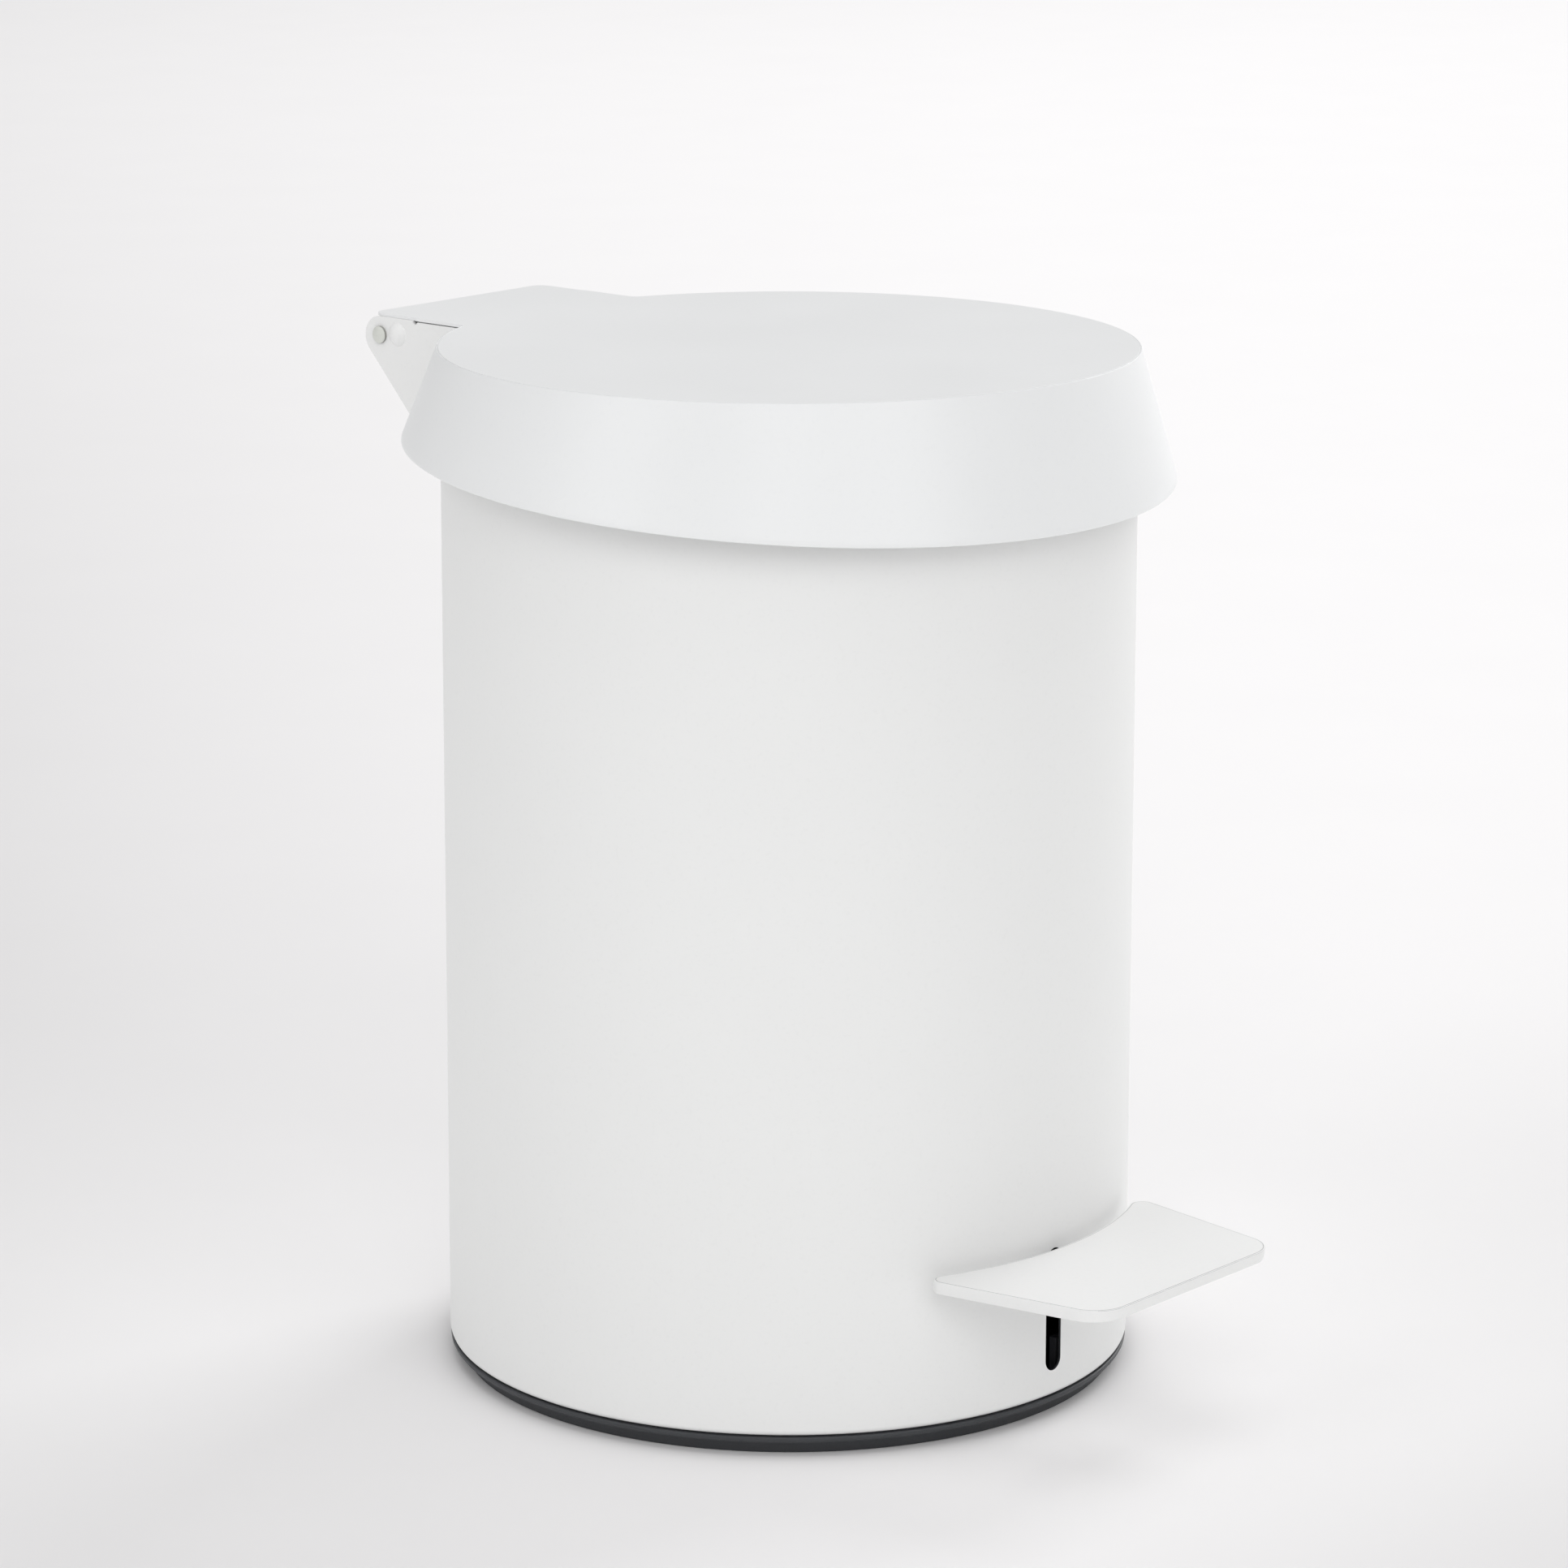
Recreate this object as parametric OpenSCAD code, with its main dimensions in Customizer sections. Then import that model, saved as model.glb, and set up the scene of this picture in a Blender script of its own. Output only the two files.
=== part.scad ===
// Round steel pedal bin. A thin steel body stands on a moulded base, a flared lid turns on a
// hinge bracket behind it, and a lever with a push rod joins the pedal to the lid. A plastic
// bucket with a wire bail stands inside.
// Millimetres. +Z is up, the pedal points to -Y and the hinge lies at +Y.
// The origin is the centre of the base's underside.

/* [Body] */
// Outer diameter of the steel body
body_d = 205; // [184:0.5:230]
// Sheet thickness of the body
body_wall = 0.8; // [0.6:0.1:1.2]
// Height of the body's lower edge above the floor
body_foot = 6; // [5.8:0.1:8]
// Radius of the curl along the body's lower edge
curl_r = 1.8; // [1.3:0.1:2]
// Radius of the rolled hem along the body's top edge
hem_r = 1.4; // [1.1:0.1:1.6]
// Width of the slot that the pedal lever passes through
slot_w = 6.8; // [6.4:0.1:9]
// Height of the slot's lower end above the floor
slot_low = 13.6; // [12:0.1:14]
// Height of the slot's upper end above the floor
slot_high = 51.8; // [50.8:0.1:56]

/* [Lid] */
// Height of the lid's flat top above the floor
lid_z = 306.4; // [290:0.1:330]
// Sheet thickness of the lid
lid_sheet = 0.7; // [0.6:0.1:1]
// How far the flat top stands out past the body
lid_reveal = 0.9; // [0.5:0.1:3]
// Depth of the skirt on the lid's axis
skirt_drop = 32.9; // [28:0.1:36]
// Flare of the skirt
skirt_angle = 18.3; // [16:0.1:20]
// Tilt of the skirt's rim, higher towards the hinge
rim_rake = 3.8; // [3:0.1:5]
// Height of the folded hem inside the skirt's rim
rim_hem = 3; // [2:0.5:5]
// Height of the rubber buttons under the lid
button_h = 4; // [3.2:0.1:5]
// Distance of the plastic liner's edge from the body's outer face
liner_gap = 7.5; // [6.5:0.1:12]
// Thickness of the liner
liner_t = 1.6; // [1.2:0.1:2]

/* [Hinge] */
// Distance of the hinge pin behind the body
hinge_back = 29.4; // [28:0.1:34]
// Distance of the hinge pin below the lid's top
hinge_drop = 7.1; // [6.9:0.1:8]
// Half of the bracket's width over its cheeks
cheek_x = 37.5; // [34:0.5:42]
// Thickness of the cheeks
cheek_t = 1.5; // [1.2:0.1:2]
// Radius of the cheek's rear corner round the pin
cheek_r = 6.2; // [5.8:0.1:6.2]
// Slope of the cheek's rear edge
cheek_slope = 47.7; // [46:0.1:50]
// How far the lid's tongue reaches behind the pin
tongue_back = 3.4; // [3:0.1:5]
// How far the tongue's rear part is set in from the cheek's outer face
tongue_step = 0.6; // [0.4:0.1:0.8]
// Distance from the pin forward to the step in the tongue
step_y = 14.9; // [13:0.1:18]
// Diameter of the hinge pin
hinge_pin_d = 4.8; // [4:0.1:5]
// Diameter of the hinge pin's heads
pin_head_d = 5.6; // [5.4:0.1:7]
// Distance of the stop bar in front of the pin
stop_y = 7.5; // [7.4:0.1:8]
// Height of the stop bar above the pin
stop_z = 1.3; // [0.8:0.1:1.5]
// Diameter of the stop bar
stop_d = 5; // [4.6:0.1:5]
// Diameter of the stop bar's domed ends
dome_d = 7.3; // [6.5:0.1:7.6]

/* [Linkage] */
// Length of the crank from the hinge pin to the crank pin
crank_len = 24; // [23:0.5:25]
// Angle of the crank below the horizontal with the lid closed
crank_dip = 40; // [38:1:40]
// Diameter of the push rod and its two pins
rod_d = 4; // [3.5:0.1:4]
// Distance of the push rod's axis from the body's inner face
rod_inset = 8.2; // [8:0.1:8.6]
// Thickness of the rod's head
head_t = 5; // [4.8:0.1:5.4]

/* [Pedal] */
// Height of the pedal's tread above the floor
tread_z = 52.7; // [52.2:0.1:53.2]
// Thickness of the tread
tread_t = 3.6; // [3.4:0.1:4.2]
// Distance from the body to the pedal's front edge
tread_reach = 50; // [45:1:60]
// Half width of the front edge
tread_half = 41; // [36:0.5:48]
// Angle by which each side opens towards the body
tread_flare = 9.45; // [7:0.05:11]
// Radius of the front corners
tread_corner = 11; // [8:0.5:16]
// Radius of the rear corners
tread_tip = 3.8; // [3:0.1:5]
// Gap between the tread and the body
tread_gap = 3.5; // [3:0.1:5]
// Thickness of the lever
lever_t = 5; // [4:0.1:5.2]
// Depth of the lever
lever_h = 9.4; // [9:0.1:9.6]
// Distance of the lever's pivot in front of the body's axis
pivot_front = 17; // [16:0.1:20]
// Diameter of the pivot pin
pivot_d = 5; // [4.5:0.1:5.5]
// Height of the lever's rear pin above the floor
lever_rear_z = 10; // [9.6:0.1:11]

/* [Base] */
// How far the base's foot is set in from the body's outer face
base_inset = 4.1; // [2.5:0.1:6]
// Thickness of the base's floor
base_t = 2.5; // [2:0.1:3]
// Height of the base's wall
base_wall_h = 22; // [18:1:26]

/* [Bucket] */
// Height of the bucket's floor above the ground
bucket_z = 51; // [50.5:0.5:56]
// Distance of the bucket's rim below the lid's top
bucket_drop = 34.4; // [33.4:0.2:60]
// Distance from the bucket's lip to the body's inner face, where the bail lies
bail_space = 11.2; // [11:0.1:14]
// How far the lip stands out from the bucket's wall
lip_reach = 4.5; // [4.2:0.1:5.5]
// How much smaller the bucket's radius is at its floor
bucket_taper = 10; // [8:0.5:14]
// Wall thickness of the bucket
bucket_wall = 1.6; // [1.2:0.1:2]
// Diameter of the bail's wire
bail_d = 3.5; // [3:0.1:3.8]
// Diameter of the bail's grip
grip_d = 8.4; // [7:0.1:8.6]

/* [Hidden] */
$fn = 96;

// Clearances
seat_gap = 0.3;    // between pieces that rest on each other or pass with play
fit_gap = 0.05;    // radial play of a pin or screw in its hole
slide_gap = 0.08;  // radial play of the rod in its guides
weld_gap = 0.03;   // between curved sheets that are joined face to face
cut = 1;           // how far a cutter runs past the face it opens
far = 400;         // reach of the cutters that trim a whole side away

// Body and base
body_r = body_d / 2;
base_r = body_r - base_inset;
foot_flare = 1;
inner_r = body_r - body_wall;
lid_under = lid_z - lid_sheet;
hem_top = lid_under - button_h - seat_gap;
hem_z = hem_top - hem_r;
wall_top = hem_z;
curl_in = body_r - curl_r;
groove_r = curl_in + 0.2;
spigot_r = curl_in - 0.8;
ledge_z = body_foot - 0.1;
lip_z = body_foot - 0.7;
lip_t = 1.3;
base_lip_r = body_r - 0.7;
base_wall = 2.2;
snap_z = body_foot + curl_r + 0.6;
snap_h = 4;
snap_w = 14;
snap_count = 8;
notch_lift = 0.5;

// Lid
lid_r = body_r + lid_reveal;
rim_z = lid_z - skirt_drop;
rim_r = lid_r + skirt_drop * tan(skirt_angle);
skirt_gap = 0.5;
liner_r = body_r - liner_gap;
liner_lip_h = 2;
liner_lip_t = 1.5;
liner_rear = body_r - 16;
rib_w = 2;
ribs = [liner_r / 3, liner_r * 2 / 3];
rim_hem_t = 0.9;
button_d = 4;
button_count = 4;
button_r = inner_r - button_d / 2;

// Hinge
hinge_y = body_r + hinge_back;
hinge_z = lid_z - hinge_drop;
cheek_in = cheek_x - cheek_t;
slot_under = 0.6;                 // height of the slit below the tongue's wide part
web_gap = 0.8;
flange_w = 12;
flange_t = 1.5;
flange_r = body_r + weld_gap;
rivet_d = 3;
rivet_head_d = 6;
rivet_x = cheek_in - flange_w / 2;
rivet_head_t = 1;
rivet_seat = sqrt(inner_r * inner_r - rivet_head_d * rivet_head_d / 4);
rivet_share = [0.62, 0.9];        // places of the rivets along the flange
rivet_reach = flange_r + flange_t + cut;
pin_head_t = 1.1;
screw_d = 3;
screw_len = 12;
dome_h = 1.7;
yoke_t = 1.2;
yoke_front = body_r - 10;
yoke_inset = 1;                   // from the tongue's rear edge
ear_gap = 1;                      // between an ear and the cheek, where the bush's flange lies
ear_in = cheek_in - ear_gap - yoke_t;
ear_r = 4.6;
ear_w = 6.5;
bush_d = 6.1;
bush_flange_d = 8.4;
bush_flange_t = 0.8;
lobe_r = 6.4;
lobe_angle = 90.5;                // from the pedal side, downwards
lobe_end_angle = 108.5;
web_top = hinge_z - lobe_r - web_gap;
fillet_r = 4;
relief_r = 0.8;
tongue_corner = 3;

// Linkage
crank_y = hinge_y - crank_len * cos(crank_dip);
crank_z = hinge_z - crank_len * sin(crank_dip);
head_y = hinge_y - crank_len * (1 + cos(crank_dip)) / 2;
head_slack = 0.4;
head_play_y = crank_len * (1 - cos(crank_dip)) / 2 + head_slack;
head_play_z = 0.8;
head_rim = 2.2;
head_h = rod_d + 2 * head_play_z + 2 * head_rim;
boss_d = 6;
boss_h = 2.4;
arm_gap = 0.9;
arm_t = 1.5;
arm_in = head_t / 2 + arm_gap;
arm_r = 4.5;
arm_front = body_r + 2.5;
arm_back = hinge_y - 13;
arm_foot = 6;                     // how far the crank's foot plate reaches past its arms
pin_end = 0.8;                    // how far a pin reaches past its clips
clip_w = 1.5;                     // width of a clip's ring
clip_t = 0.8;
clip_gap = 0.1;
rod_y = inner_r - rod_inset;
bend_swell = 0.6;
rod_bend_z = crank_z - head_h / 2 - boss_h - rod_d / 2 - seat_gap;
rod_knee_z = rod_bend_z - (head_y - rod_y) * tan(cheek_slope);
notch_w = 18;
guide_w = 14;
guide_t = 2;
guide_share = [0.24, 0.74];       // places of the guides up the body

// Pedal
lever_top = tread_z - tread_t;
lever_z = lever_top - lever_h / 2;
lever_bend_y = -(body_r - 4.5);
pivot_y = -pivot_front;
lever_dip = atan((lever_z - lever_rear_z) / (rod_y - lever_bend_y));
pivot_z = lever_z - (pivot_y - lever_bend_y) * tan(lever_dip);
lever_hub_r = 8;
pin_sway = (norm([rod_y - pivot_y, pivot_z - lever_rear_z]) - (rod_y - pivot_y)) / 2;
lever_tip_h = 2;
lever_tip_y = -(body_r + tread_reach - 5.5);
lever_deep_y = -(body_r + 9.5);
bush_outer = 8;
clevis_gap = 0.5;
clevis_t = 1.8;
clevis_y = 4.9;
clevis_low = 4.5;
clevis_roof = 7;
clevis_cap = 5;
clevis_play_y = pin_sway + 0.25;
rear_gap = 8;
bracket_x = 6;
bracket_t = 1.5;
bracket_half_y = 8;
plate_half_x = 16;
plate_half_y = 11;
boss_z = 8;
mount_screw_x = 11.5;
mount_screw_y = 7;
mount_head_d = 5.6;
mount_head_t = 2;
mount_slot = [3.2, 0.8];
lever_pressed = 6;                // angle of the lever below level at the front, fully pressed
stop_at_y = -(body_r - 18.5);
rest_at_y = body_r - 22.5;
bumper_d = 12;
pad_d = 10;

// Bucket
bucket_top = lid_z - bucket_drop;
lip_r = inner_r - bail_space;
bucket_r = lip_r - lip_reach;
bucket_foot_r = bucket_r - bucket_taper;
post_r = 7;
post_ring = bucket_foot_r - post_r - 2;
bucket_lip_h = 8;
bucket_lip_t = 1.5;
ear_drop = 10;
ear_z = bucket_top - ear_drop;
ear_half_y = 6;
ear_half_z = 7;
bail_r = (inner_r + lip_r) / 2;
bail_play = 0.35;
grip_angle = 28;
lug_angle = 50;
lug_w = 8;
lug_h = 4;
lug_reach = 1;
ear_reach = 1;
socket_tip = 1;

// Height on a line parallel to the cheek's rear edge, moved inwards by inset
function edge_z(y, inset) =
  hinge_z + (sin(cheek_slope) * (y - hinge_y) - cheek_r + inset) / cos(cheek_slope);
// Height of the lever's centre line behind its bend
function lever_line(y) = pivot_z - (y - pivot_y) * tan(lever_dip);
// Place on a line of the given slope at a given distance from the origin, nearest the pedal
function on_circle_y(a, t, r) = (-a * t - sqrt(a * a * t * t - (1 + t * t) * (a * a - r * r))) / (1 + t * t);

// Extrudes a profile drawn in Y and Z along X, from x0 to x1
module along_x(x0, x1) {
  translate([x0, 0, 0]) rotate([90, 0, 90]) linear_extrude(x1 - x0) children();
}
// Cylinder along X
module bar_x(x0, x1, d) {
  translate([x0, 0, 0]) rotate([0, 90, 0]) cylinder(d = d, h = x1 - x0);
}
// Both sides of a symmetric pair
module both_sides() {
  children();
  mirror([1, 0, 0]) children();
}
// Slot with round ends, drawn in the plane of its two axes
module stadium(half_x, half_y) {
  end = half_x - half_y;
  square([2 * end, 2 * half_y], center = true);
  for (s = [-1, 1]) translate([s * end, 0]) circle(r = half_y);
}
// Round bar between two points of the plane x = 0
module yz_bar(a, b, d) {
  run = b - a;
  translate([0, a[0], a[1]]) rotate([atan2(-run[0], run[1]), 0, 0]) cylinder(d = d, h = norm(run));
}
// Retaining ring on a pin along X
module ring_x(x0, pin_d) {
  difference() {
    bar_x(x0, x0 + clip_t, pin_d + 2 * clip_w);
    bar_x(x0 - cut, x0 + clip_t + cut, pin_d + 2 * fit_gap);
  }
}

// ---- Body and base ----
module body_profile() {
  translate([inner_r, body_foot + curl_r]) square([body_wall, wall_top - body_foot - curl_r]);
  intersection() {
    translate([curl_in, body_foot + curl_r]) difference() {
      circle(r = curl_r);
      circle(r = curl_r - body_wall);
    }
    translate([curl_in, body_foot - cut]) square([curl_r + cut, curl_r + cut]);
  }
  translate([body_r - hem_r, hem_z]) circle(r = hem_r);
}
// Each rivet's place, with +Y running out through the wall
module rivet_places() {
  low = edge_z(body_r, 0) - 20;
  for (s = [-1, 1], k = rivet_share)
    rotate([0, 0, s * asin(rivet_x / body_r)]) translate([0, 0, low + (wall_top - low) * k]) children();
}
module body_shell() {
  color("white") difference() {
    rotate_extrude() body_profile();
    translate([0, -body_r, (slot_low + slot_high) / 2]) rotate([90, 90, 0])
      translate([0, 0, -body_wall - cut - hem_r]) linear_extrude(body_wall + 2 * cut + hem_r)
        stadium((slot_high - slot_low) / 2, slot_w / 2);
    translate([-notch_w / 2, body_r - 2 * hem_r - cut, edge_z(body_r, bracket_t) + notch_lift])
      cube([notch_w, far, far]);
    rivet_places() rotate([-90, 0, 0]) cylinder(d = rivet_d + 2 * fit_gap, h = rivet_reach);
  }
}
module base_profile() {
  polygon([
    [0, 0], [base_r, 0], [base_r + foot_flare, lip_z - lip_t], [base_lip_r, lip_z - lip_t],
    [base_lip_r, lip_z], [groove_r, lip_z], [groove_r, ledge_z], [spigot_r, ledge_z],
    [spigot_r, base_wall_h], [spigot_r - base_wall, base_wall_h], [spigot_r - base_wall, base_t],
    [0, base_t]
  ]);
}
module base() {
  color("#2b2b2d") difference() {
    union() {
      rotate_extrude() base_profile();
      intersection() {
        translate([0, 0, snap_z]) difference() {
          cylinder(r = inner_r - seat_gap, h = snap_h);
          translate([0, 0, -cut]) cylinder(r = spigot_r - cut, h = snap_h + 2 * cut);
        }
        for (k = [0 : snap_count - 1]) rotate([0, 0, (k + 0.5) * 360 / snap_count])
          translate([-snap_w / 2, 0, 0]) cube([snap_w, far, far]);
      }
      for (a = [45 : 90 : 315]) rotate([0, 0, a]) translate([post_ring, 0, 0]) difference() {
        cylinder(r = post_r, h = bucket_z - seat_gap);
        translate([0, 0, base_t]) cylinder(r = post_r - base_wall, h = bucket_z);
      }
      translate([-plate_half_x, pivot_y - plate_half_y, 0])
        cube([2 * plate_half_x, 2 * plate_half_y, boss_z]);
    }
    translate([-slot_w / 2 - cut, -far, slot_low - cut]) cube([slot_w + 2 * cut, far, far]);
    translate([-rear_gap, post_ring, ledge_z]) cube([2 * rear_gap, far, far]);
    intersection() {
      translate([-rear_gap, post_ring, lip_z - lip_t]) cube([2 * rear_gap, far, far]);
      cylinder(r = spigot_r - seat_gap, h = far);
    }
    mount_screws(screw_d + 2 * fit_gap);
  }
}

// ---- Pivot on the base ----
module mount_screws(d) {
  for (x = [-mount_screw_x, mount_screw_x], y = [-mount_screw_y, mount_screw_y])
    translate([x, pivot_y + y, base_t]) cylinder(d = d, h = boss_z + bracket_t - base_t + cut);
}
module pivot_bracket() {
  color("silver") difference() {
    union() {
      translate([-plate_half_x, pivot_y - plate_half_y, boss_z])
        cube([2 * plate_half_x, 2 * plate_half_y, bracket_t]);
      both_sides() along_x(bracket_x, bracket_x + bracket_t) translate([pivot_y, 0]) {
        translate([-bracket_half_y, boss_z]) square([2 * bracket_half_y, pivot_z - boss_z]);
        translate([0, pivot_z]) circle(r = bracket_half_y);
      }
    }
    translate([0, pivot_y, pivot_z]) bar_x(-plate_half_x, plate_half_x, pivot_d + 2 * fit_gap);
    mount_screws(screw_d + 2 * fit_gap);
  }
}
module pivot_screws() {
  color("gray") {
    difference() {
      mount_screws(screw_d);
      translate([-far, -far, boss_z + bracket_t]) cube(2 * far);
    }
    for (x = [-mount_screw_x, mount_screw_x], y = [-mount_screw_y, mount_screw_y])
      translate([x, pivot_y + y, boss_z + bracket_t]) difference() {
        cylinder(d = mount_head_d, h = mount_head_t);
        translate([0, 0, mount_head_t / 2]) for (a = [0, 90]) rotate([0, 0, a])
          translate([0, 0, mount_head_t / 2]) cube([mount_slot[0], mount_slot[1], mount_head_t], center = true);
      }
  }
}
pivot_pin_half = bracket_x + bracket_t + clip_gap + clip_t + pin_end;
module pivot_pin() {
  color("silver") translate([0, pivot_y, pivot_z]) bar_x(-pivot_pin_half, pivot_pin_half, pivot_d);
}
module pivot_clips() {
  color("dimgray") both_sides()
    translate([0, pivot_y, pivot_z]) ring_x(bracket_x + bracket_t + clip_gap, pivot_d);
}
module pedal_stop_bumper() {
  top = pivot_z - (pivot_y - stop_at_y) * tan(lever_pressed) - lever_h / 2 / cos(lever_pressed);
  color("#222222") translate([0, stop_at_y, base_t])
    cylinder(d = bumper_d, h = top - seat_gap - base_t);
}
module lever_rest_pad() {
  under = lever_line(rest_at_y + pad_d / 2) - lever_h / 2 / cos(lever_dip);
  color("#222222") translate([0, rest_at_y, base_t]) cylinder(d = pad_d, h = under - seat_gap - base_t);
}

// ---- Guides of the push rod ----
module rod_guide(share) {
  z = body_foot + share * (wall_top - body_foot);
  front = rod_y - rod_d;
  back = inner_r - guide_t;
  translate([0, 0, z]) difference() {
    intersection() {
      along_x(-guide_w / 2, guide_w / 2) polygon([
        [front, 0], [body_r, 0], [body_r, guide_w], [back, guide_w], [back, guide_t], [front, guide_t]
      ]);
      translate([0, 0, -cut]) cylinder(r = inner_r, h = guide_w + 2 * cut, $fn = 720);
    }
    translate([0, rod_y, -cut]) cylinder(d = rod_d + 2 * slide_gap, h = guide_t + 2 * cut);
  }
}
module rod_guide_lower() {
  color("silver") rod_guide(guide_share[0]);
}
module rod_guide_upper() {
  color("silver") rod_guide(guide_share[1]);
}

// ---- Hinge bracket ----
module cheek_profile() {
  top = hinge_z + cheek_r - seat_gap;
  low_top = lid_under - slot_under;
  difference() {
    union() {
      translate([hinge_y, hinge_z]) circle(r = cheek_r);
      polygon([
        [hinge_y, hinge_z], [hinge_y, hinge_z + cheek_r],
        [hinge_y - step_y + relief_r, hinge_z + cheek_r],
        [hinge_y - step_y, low_top], [0, low_top], [0, edge_z(0, 0)],
        [hinge_y + cheek_r * sin(cheek_slope), hinge_z - cheek_r * cos(cheek_slope)]
      ]);
    }
    translate([hinge_y - step_y, hinge_z + cheek_r]) circle(r = relief_r);
    translate([hinge_y, hinge_z]) circle(d = hinge_pin_d + 2 * fit_gap);
    translate([hinge_y - stop_y, hinge_z + stop_z]) circle(d = stop_d + 2 * fit_gap);
  }
}
module flange() {
  foot = cheek_r - bracket_t - seat_gap;
  intersection() {
    difference() {
      cylinder(r = flange_r + flange_t, h = far);
      translate([0, 0, -cut]) cylinder(r = flange_r, h = far + 2 * cut);
    }
    along_x(cheek_in - flange_w, cheek_in + cut) polygon([
      [0, edge_z(0, cheek_r - foot)], [hinge_y, edge_z(hinge_y, cheek_r - foot)],
      [hinge_y, wall_top], [0, wall_top]
    ]);
  }
}
module bracket_cheek_right() {
  color("white") difference() {
    union() {
      difference() {
        along_x(cheek_in, cheek_x) cheek_profile();
        cylinder(r = flange_r, h = far);
      }
      difference() {
        flange();
        translate([cheek_in + cut / 2, 0, 0]) cube(far);
      }
    }
    rivet_places() rotate([-90, 0, 0]) cylinder(d = rivet_d + 2 * fit_gap, h = rivet_reach);
  }
}
module bracket_cheek_left() {
  mirror([1, 0, 0]) bracket_cheek_right();
}
module bracket_web() {
  color("white") difference() {
    along_x(-cheek_in, cheek_in) intersection() {
      polygon([
        [0, edge_z(0, 0)], [hinge_y + far, edge_z(hinge_y + far, 0)],
        [hinge_y + far, edge_z(hinge_y + far, bracket_t)], [0, edge_z(0, bracket_t)]
      ]);
      translate([0, -far]) square([far, far + web_top]);
    }
    cylinder(r = flange_r, h = far);
  }
}
module bracket_rivets() {
  color("white") rivet_places() rotate([-90, 0, 0]) {
    translate([0, 0, rivet_seat - rivet_head_t]) {
      cylinder(d = rivet_head_d, h = rivet_head_t);
      cylinder(d = rivet_d, h = flange_r + flange_t - rivet_seat + rivet_head_t);
    }
    translate([0, 0, flange_r + flange_t]) cylinder(d = rivet_head_d, h = rivet_head_t);
  }
}
module hinge_pin() {
  color("silver") translate([0, hinge_y, hinge_z]) difference() {
    union() {
      bar_x(-cheek_x, cheek_x, hinge_pin_d);
      bar_x(-cheek_x - pin_head_t, -cheek_x, pin_head_d);
    }
    bar_x(cheek_x - screw_len - cut, cheek_x + cut, screw_d + 2 * fit_gap);
  }
}
module hinge_screw() {
  color("silver") translate([0, hinge_y, hinge_z]) {
    bar_x(cheek_x - screw_len, cheek_x, screw_d);
    bar_x(cheek_x, cheek_x + pin_head_t, pin_head_d);
  }
}
module dome() {
  ball = (dome_d * dome_d / 4 + dome_h * dome_h) / (2 * dome_h);
  intersection() {
    translate([dome_h - ball, 0, 0]) rotate([0, 90, 0]) sphere(r = ball);
    bar_x(0, dome_h + cut, dome_d + cut);
  }
}
module stop_bar() {
  color("white") translate([0, hinge_y - stop_y, hinge_z + stop_z]) {
    bar_x(-cheek_x, cheek_x, stop_d);
    both_sides() translate([cheek_x, 0, 0]) dome();
  }
}

// ---- Lid ----
// Cone of the skirt, standing on the tilted rim plane
module rim_cone(inset, h) {
  translate([0, 0, rim_z]) rotate([rim_rake, 0, 0])
    cylinder(r1 = rim_r - inset, r2 = rim_r - inset - h * tan(skirt_angle), h = h, $fn = 360);
}
module lid_cone(inset, drop) {
  intersection() {
    rim_cone(inset, skirt_drop * 2);
    translate([-far / 2, -far / 2, 0]) cube([far, far, lid_z - drop]);
  }
}
module below_rim() {
  translate([0, 0, rim_z]) rotate([rim_rake, 0, 0]) translate([-far / 2, -far / 2, -far]) cube(far);
}
// Flat tongue behind the lid, seen from above, with its fillets and the two small reliefs
module tongue_outline() {
  side_y = sqrt(pow(lid_r + fillet_r, 2) - pow(cheek_x + fillet_r, 2));
  back_y = hinge_y + tongue_back;
  narrow = cheek_x - tongue_step;
  difference() {
    union() {
      translate([-cheek_x, 0]) square([2 * cheek_x, hinge_y - step_y]);
      translate([-narrow, 0]) square([2 * narrow, back_y - tongue_corner]);
      translate([-narrow + tongue_corner, 0]) square([2 * (narrow - tongue_corner), back_y]);
      for (s = [-1, 1]) translate([s * (narrow - tongue_corner), back_y - tongue_corner])
        circle(r = tongue_corner);
      for (s = [-1, 1]) difference() {
        polygon([
          [0, 0], [s * cheek_x, side_y], [s * (cheek_x + fillet_r), side_y],
          [s * (cheek_x + fillet_r) * lid_r / (lid_r + fillet_r), side_y * lid_r / (lid_r + fillet_r)]
        ]);
        translate([s * (cheek_x + fillet_r), side_y]) circle(r = fillet_r);
      }
    }
    for (s = [-1, 1]) translate([s * cheek_x, hinge_y - step_y]) circle(r = relief_r);
  }
}
module lid_shell() {
  sheet = lid_sheet / cos(skirt_angle);
  color("white") union() {
    difference() {
      lid_cone(0, 0);
      lid_cone(sheet, lid_sheet);
      below_rim();
      translate([-cheek_x - skirt_gap, 0, 0]) cube([2 * (cheek_x + skirt_gap), far, lid_under]);
    }
    difference() {
      rim_cone(sheet / 2, rim_hem);
      translate([0, 0, -0.01]) rim_cone(sheet + rim_hem_t, rim_hem + 0.02);
      translate([-cheek_x - skirt_gap, 0, 0]) cube([2 * (cheek_x + skirt_gap), far, lid_under]);
    }
    translate([0, 0, lid_under]) linear_extrude(lid_sheet) difference() {
      tongue_outline();
      circle(r = lid_r / 2);
    }
  }
}
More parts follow.
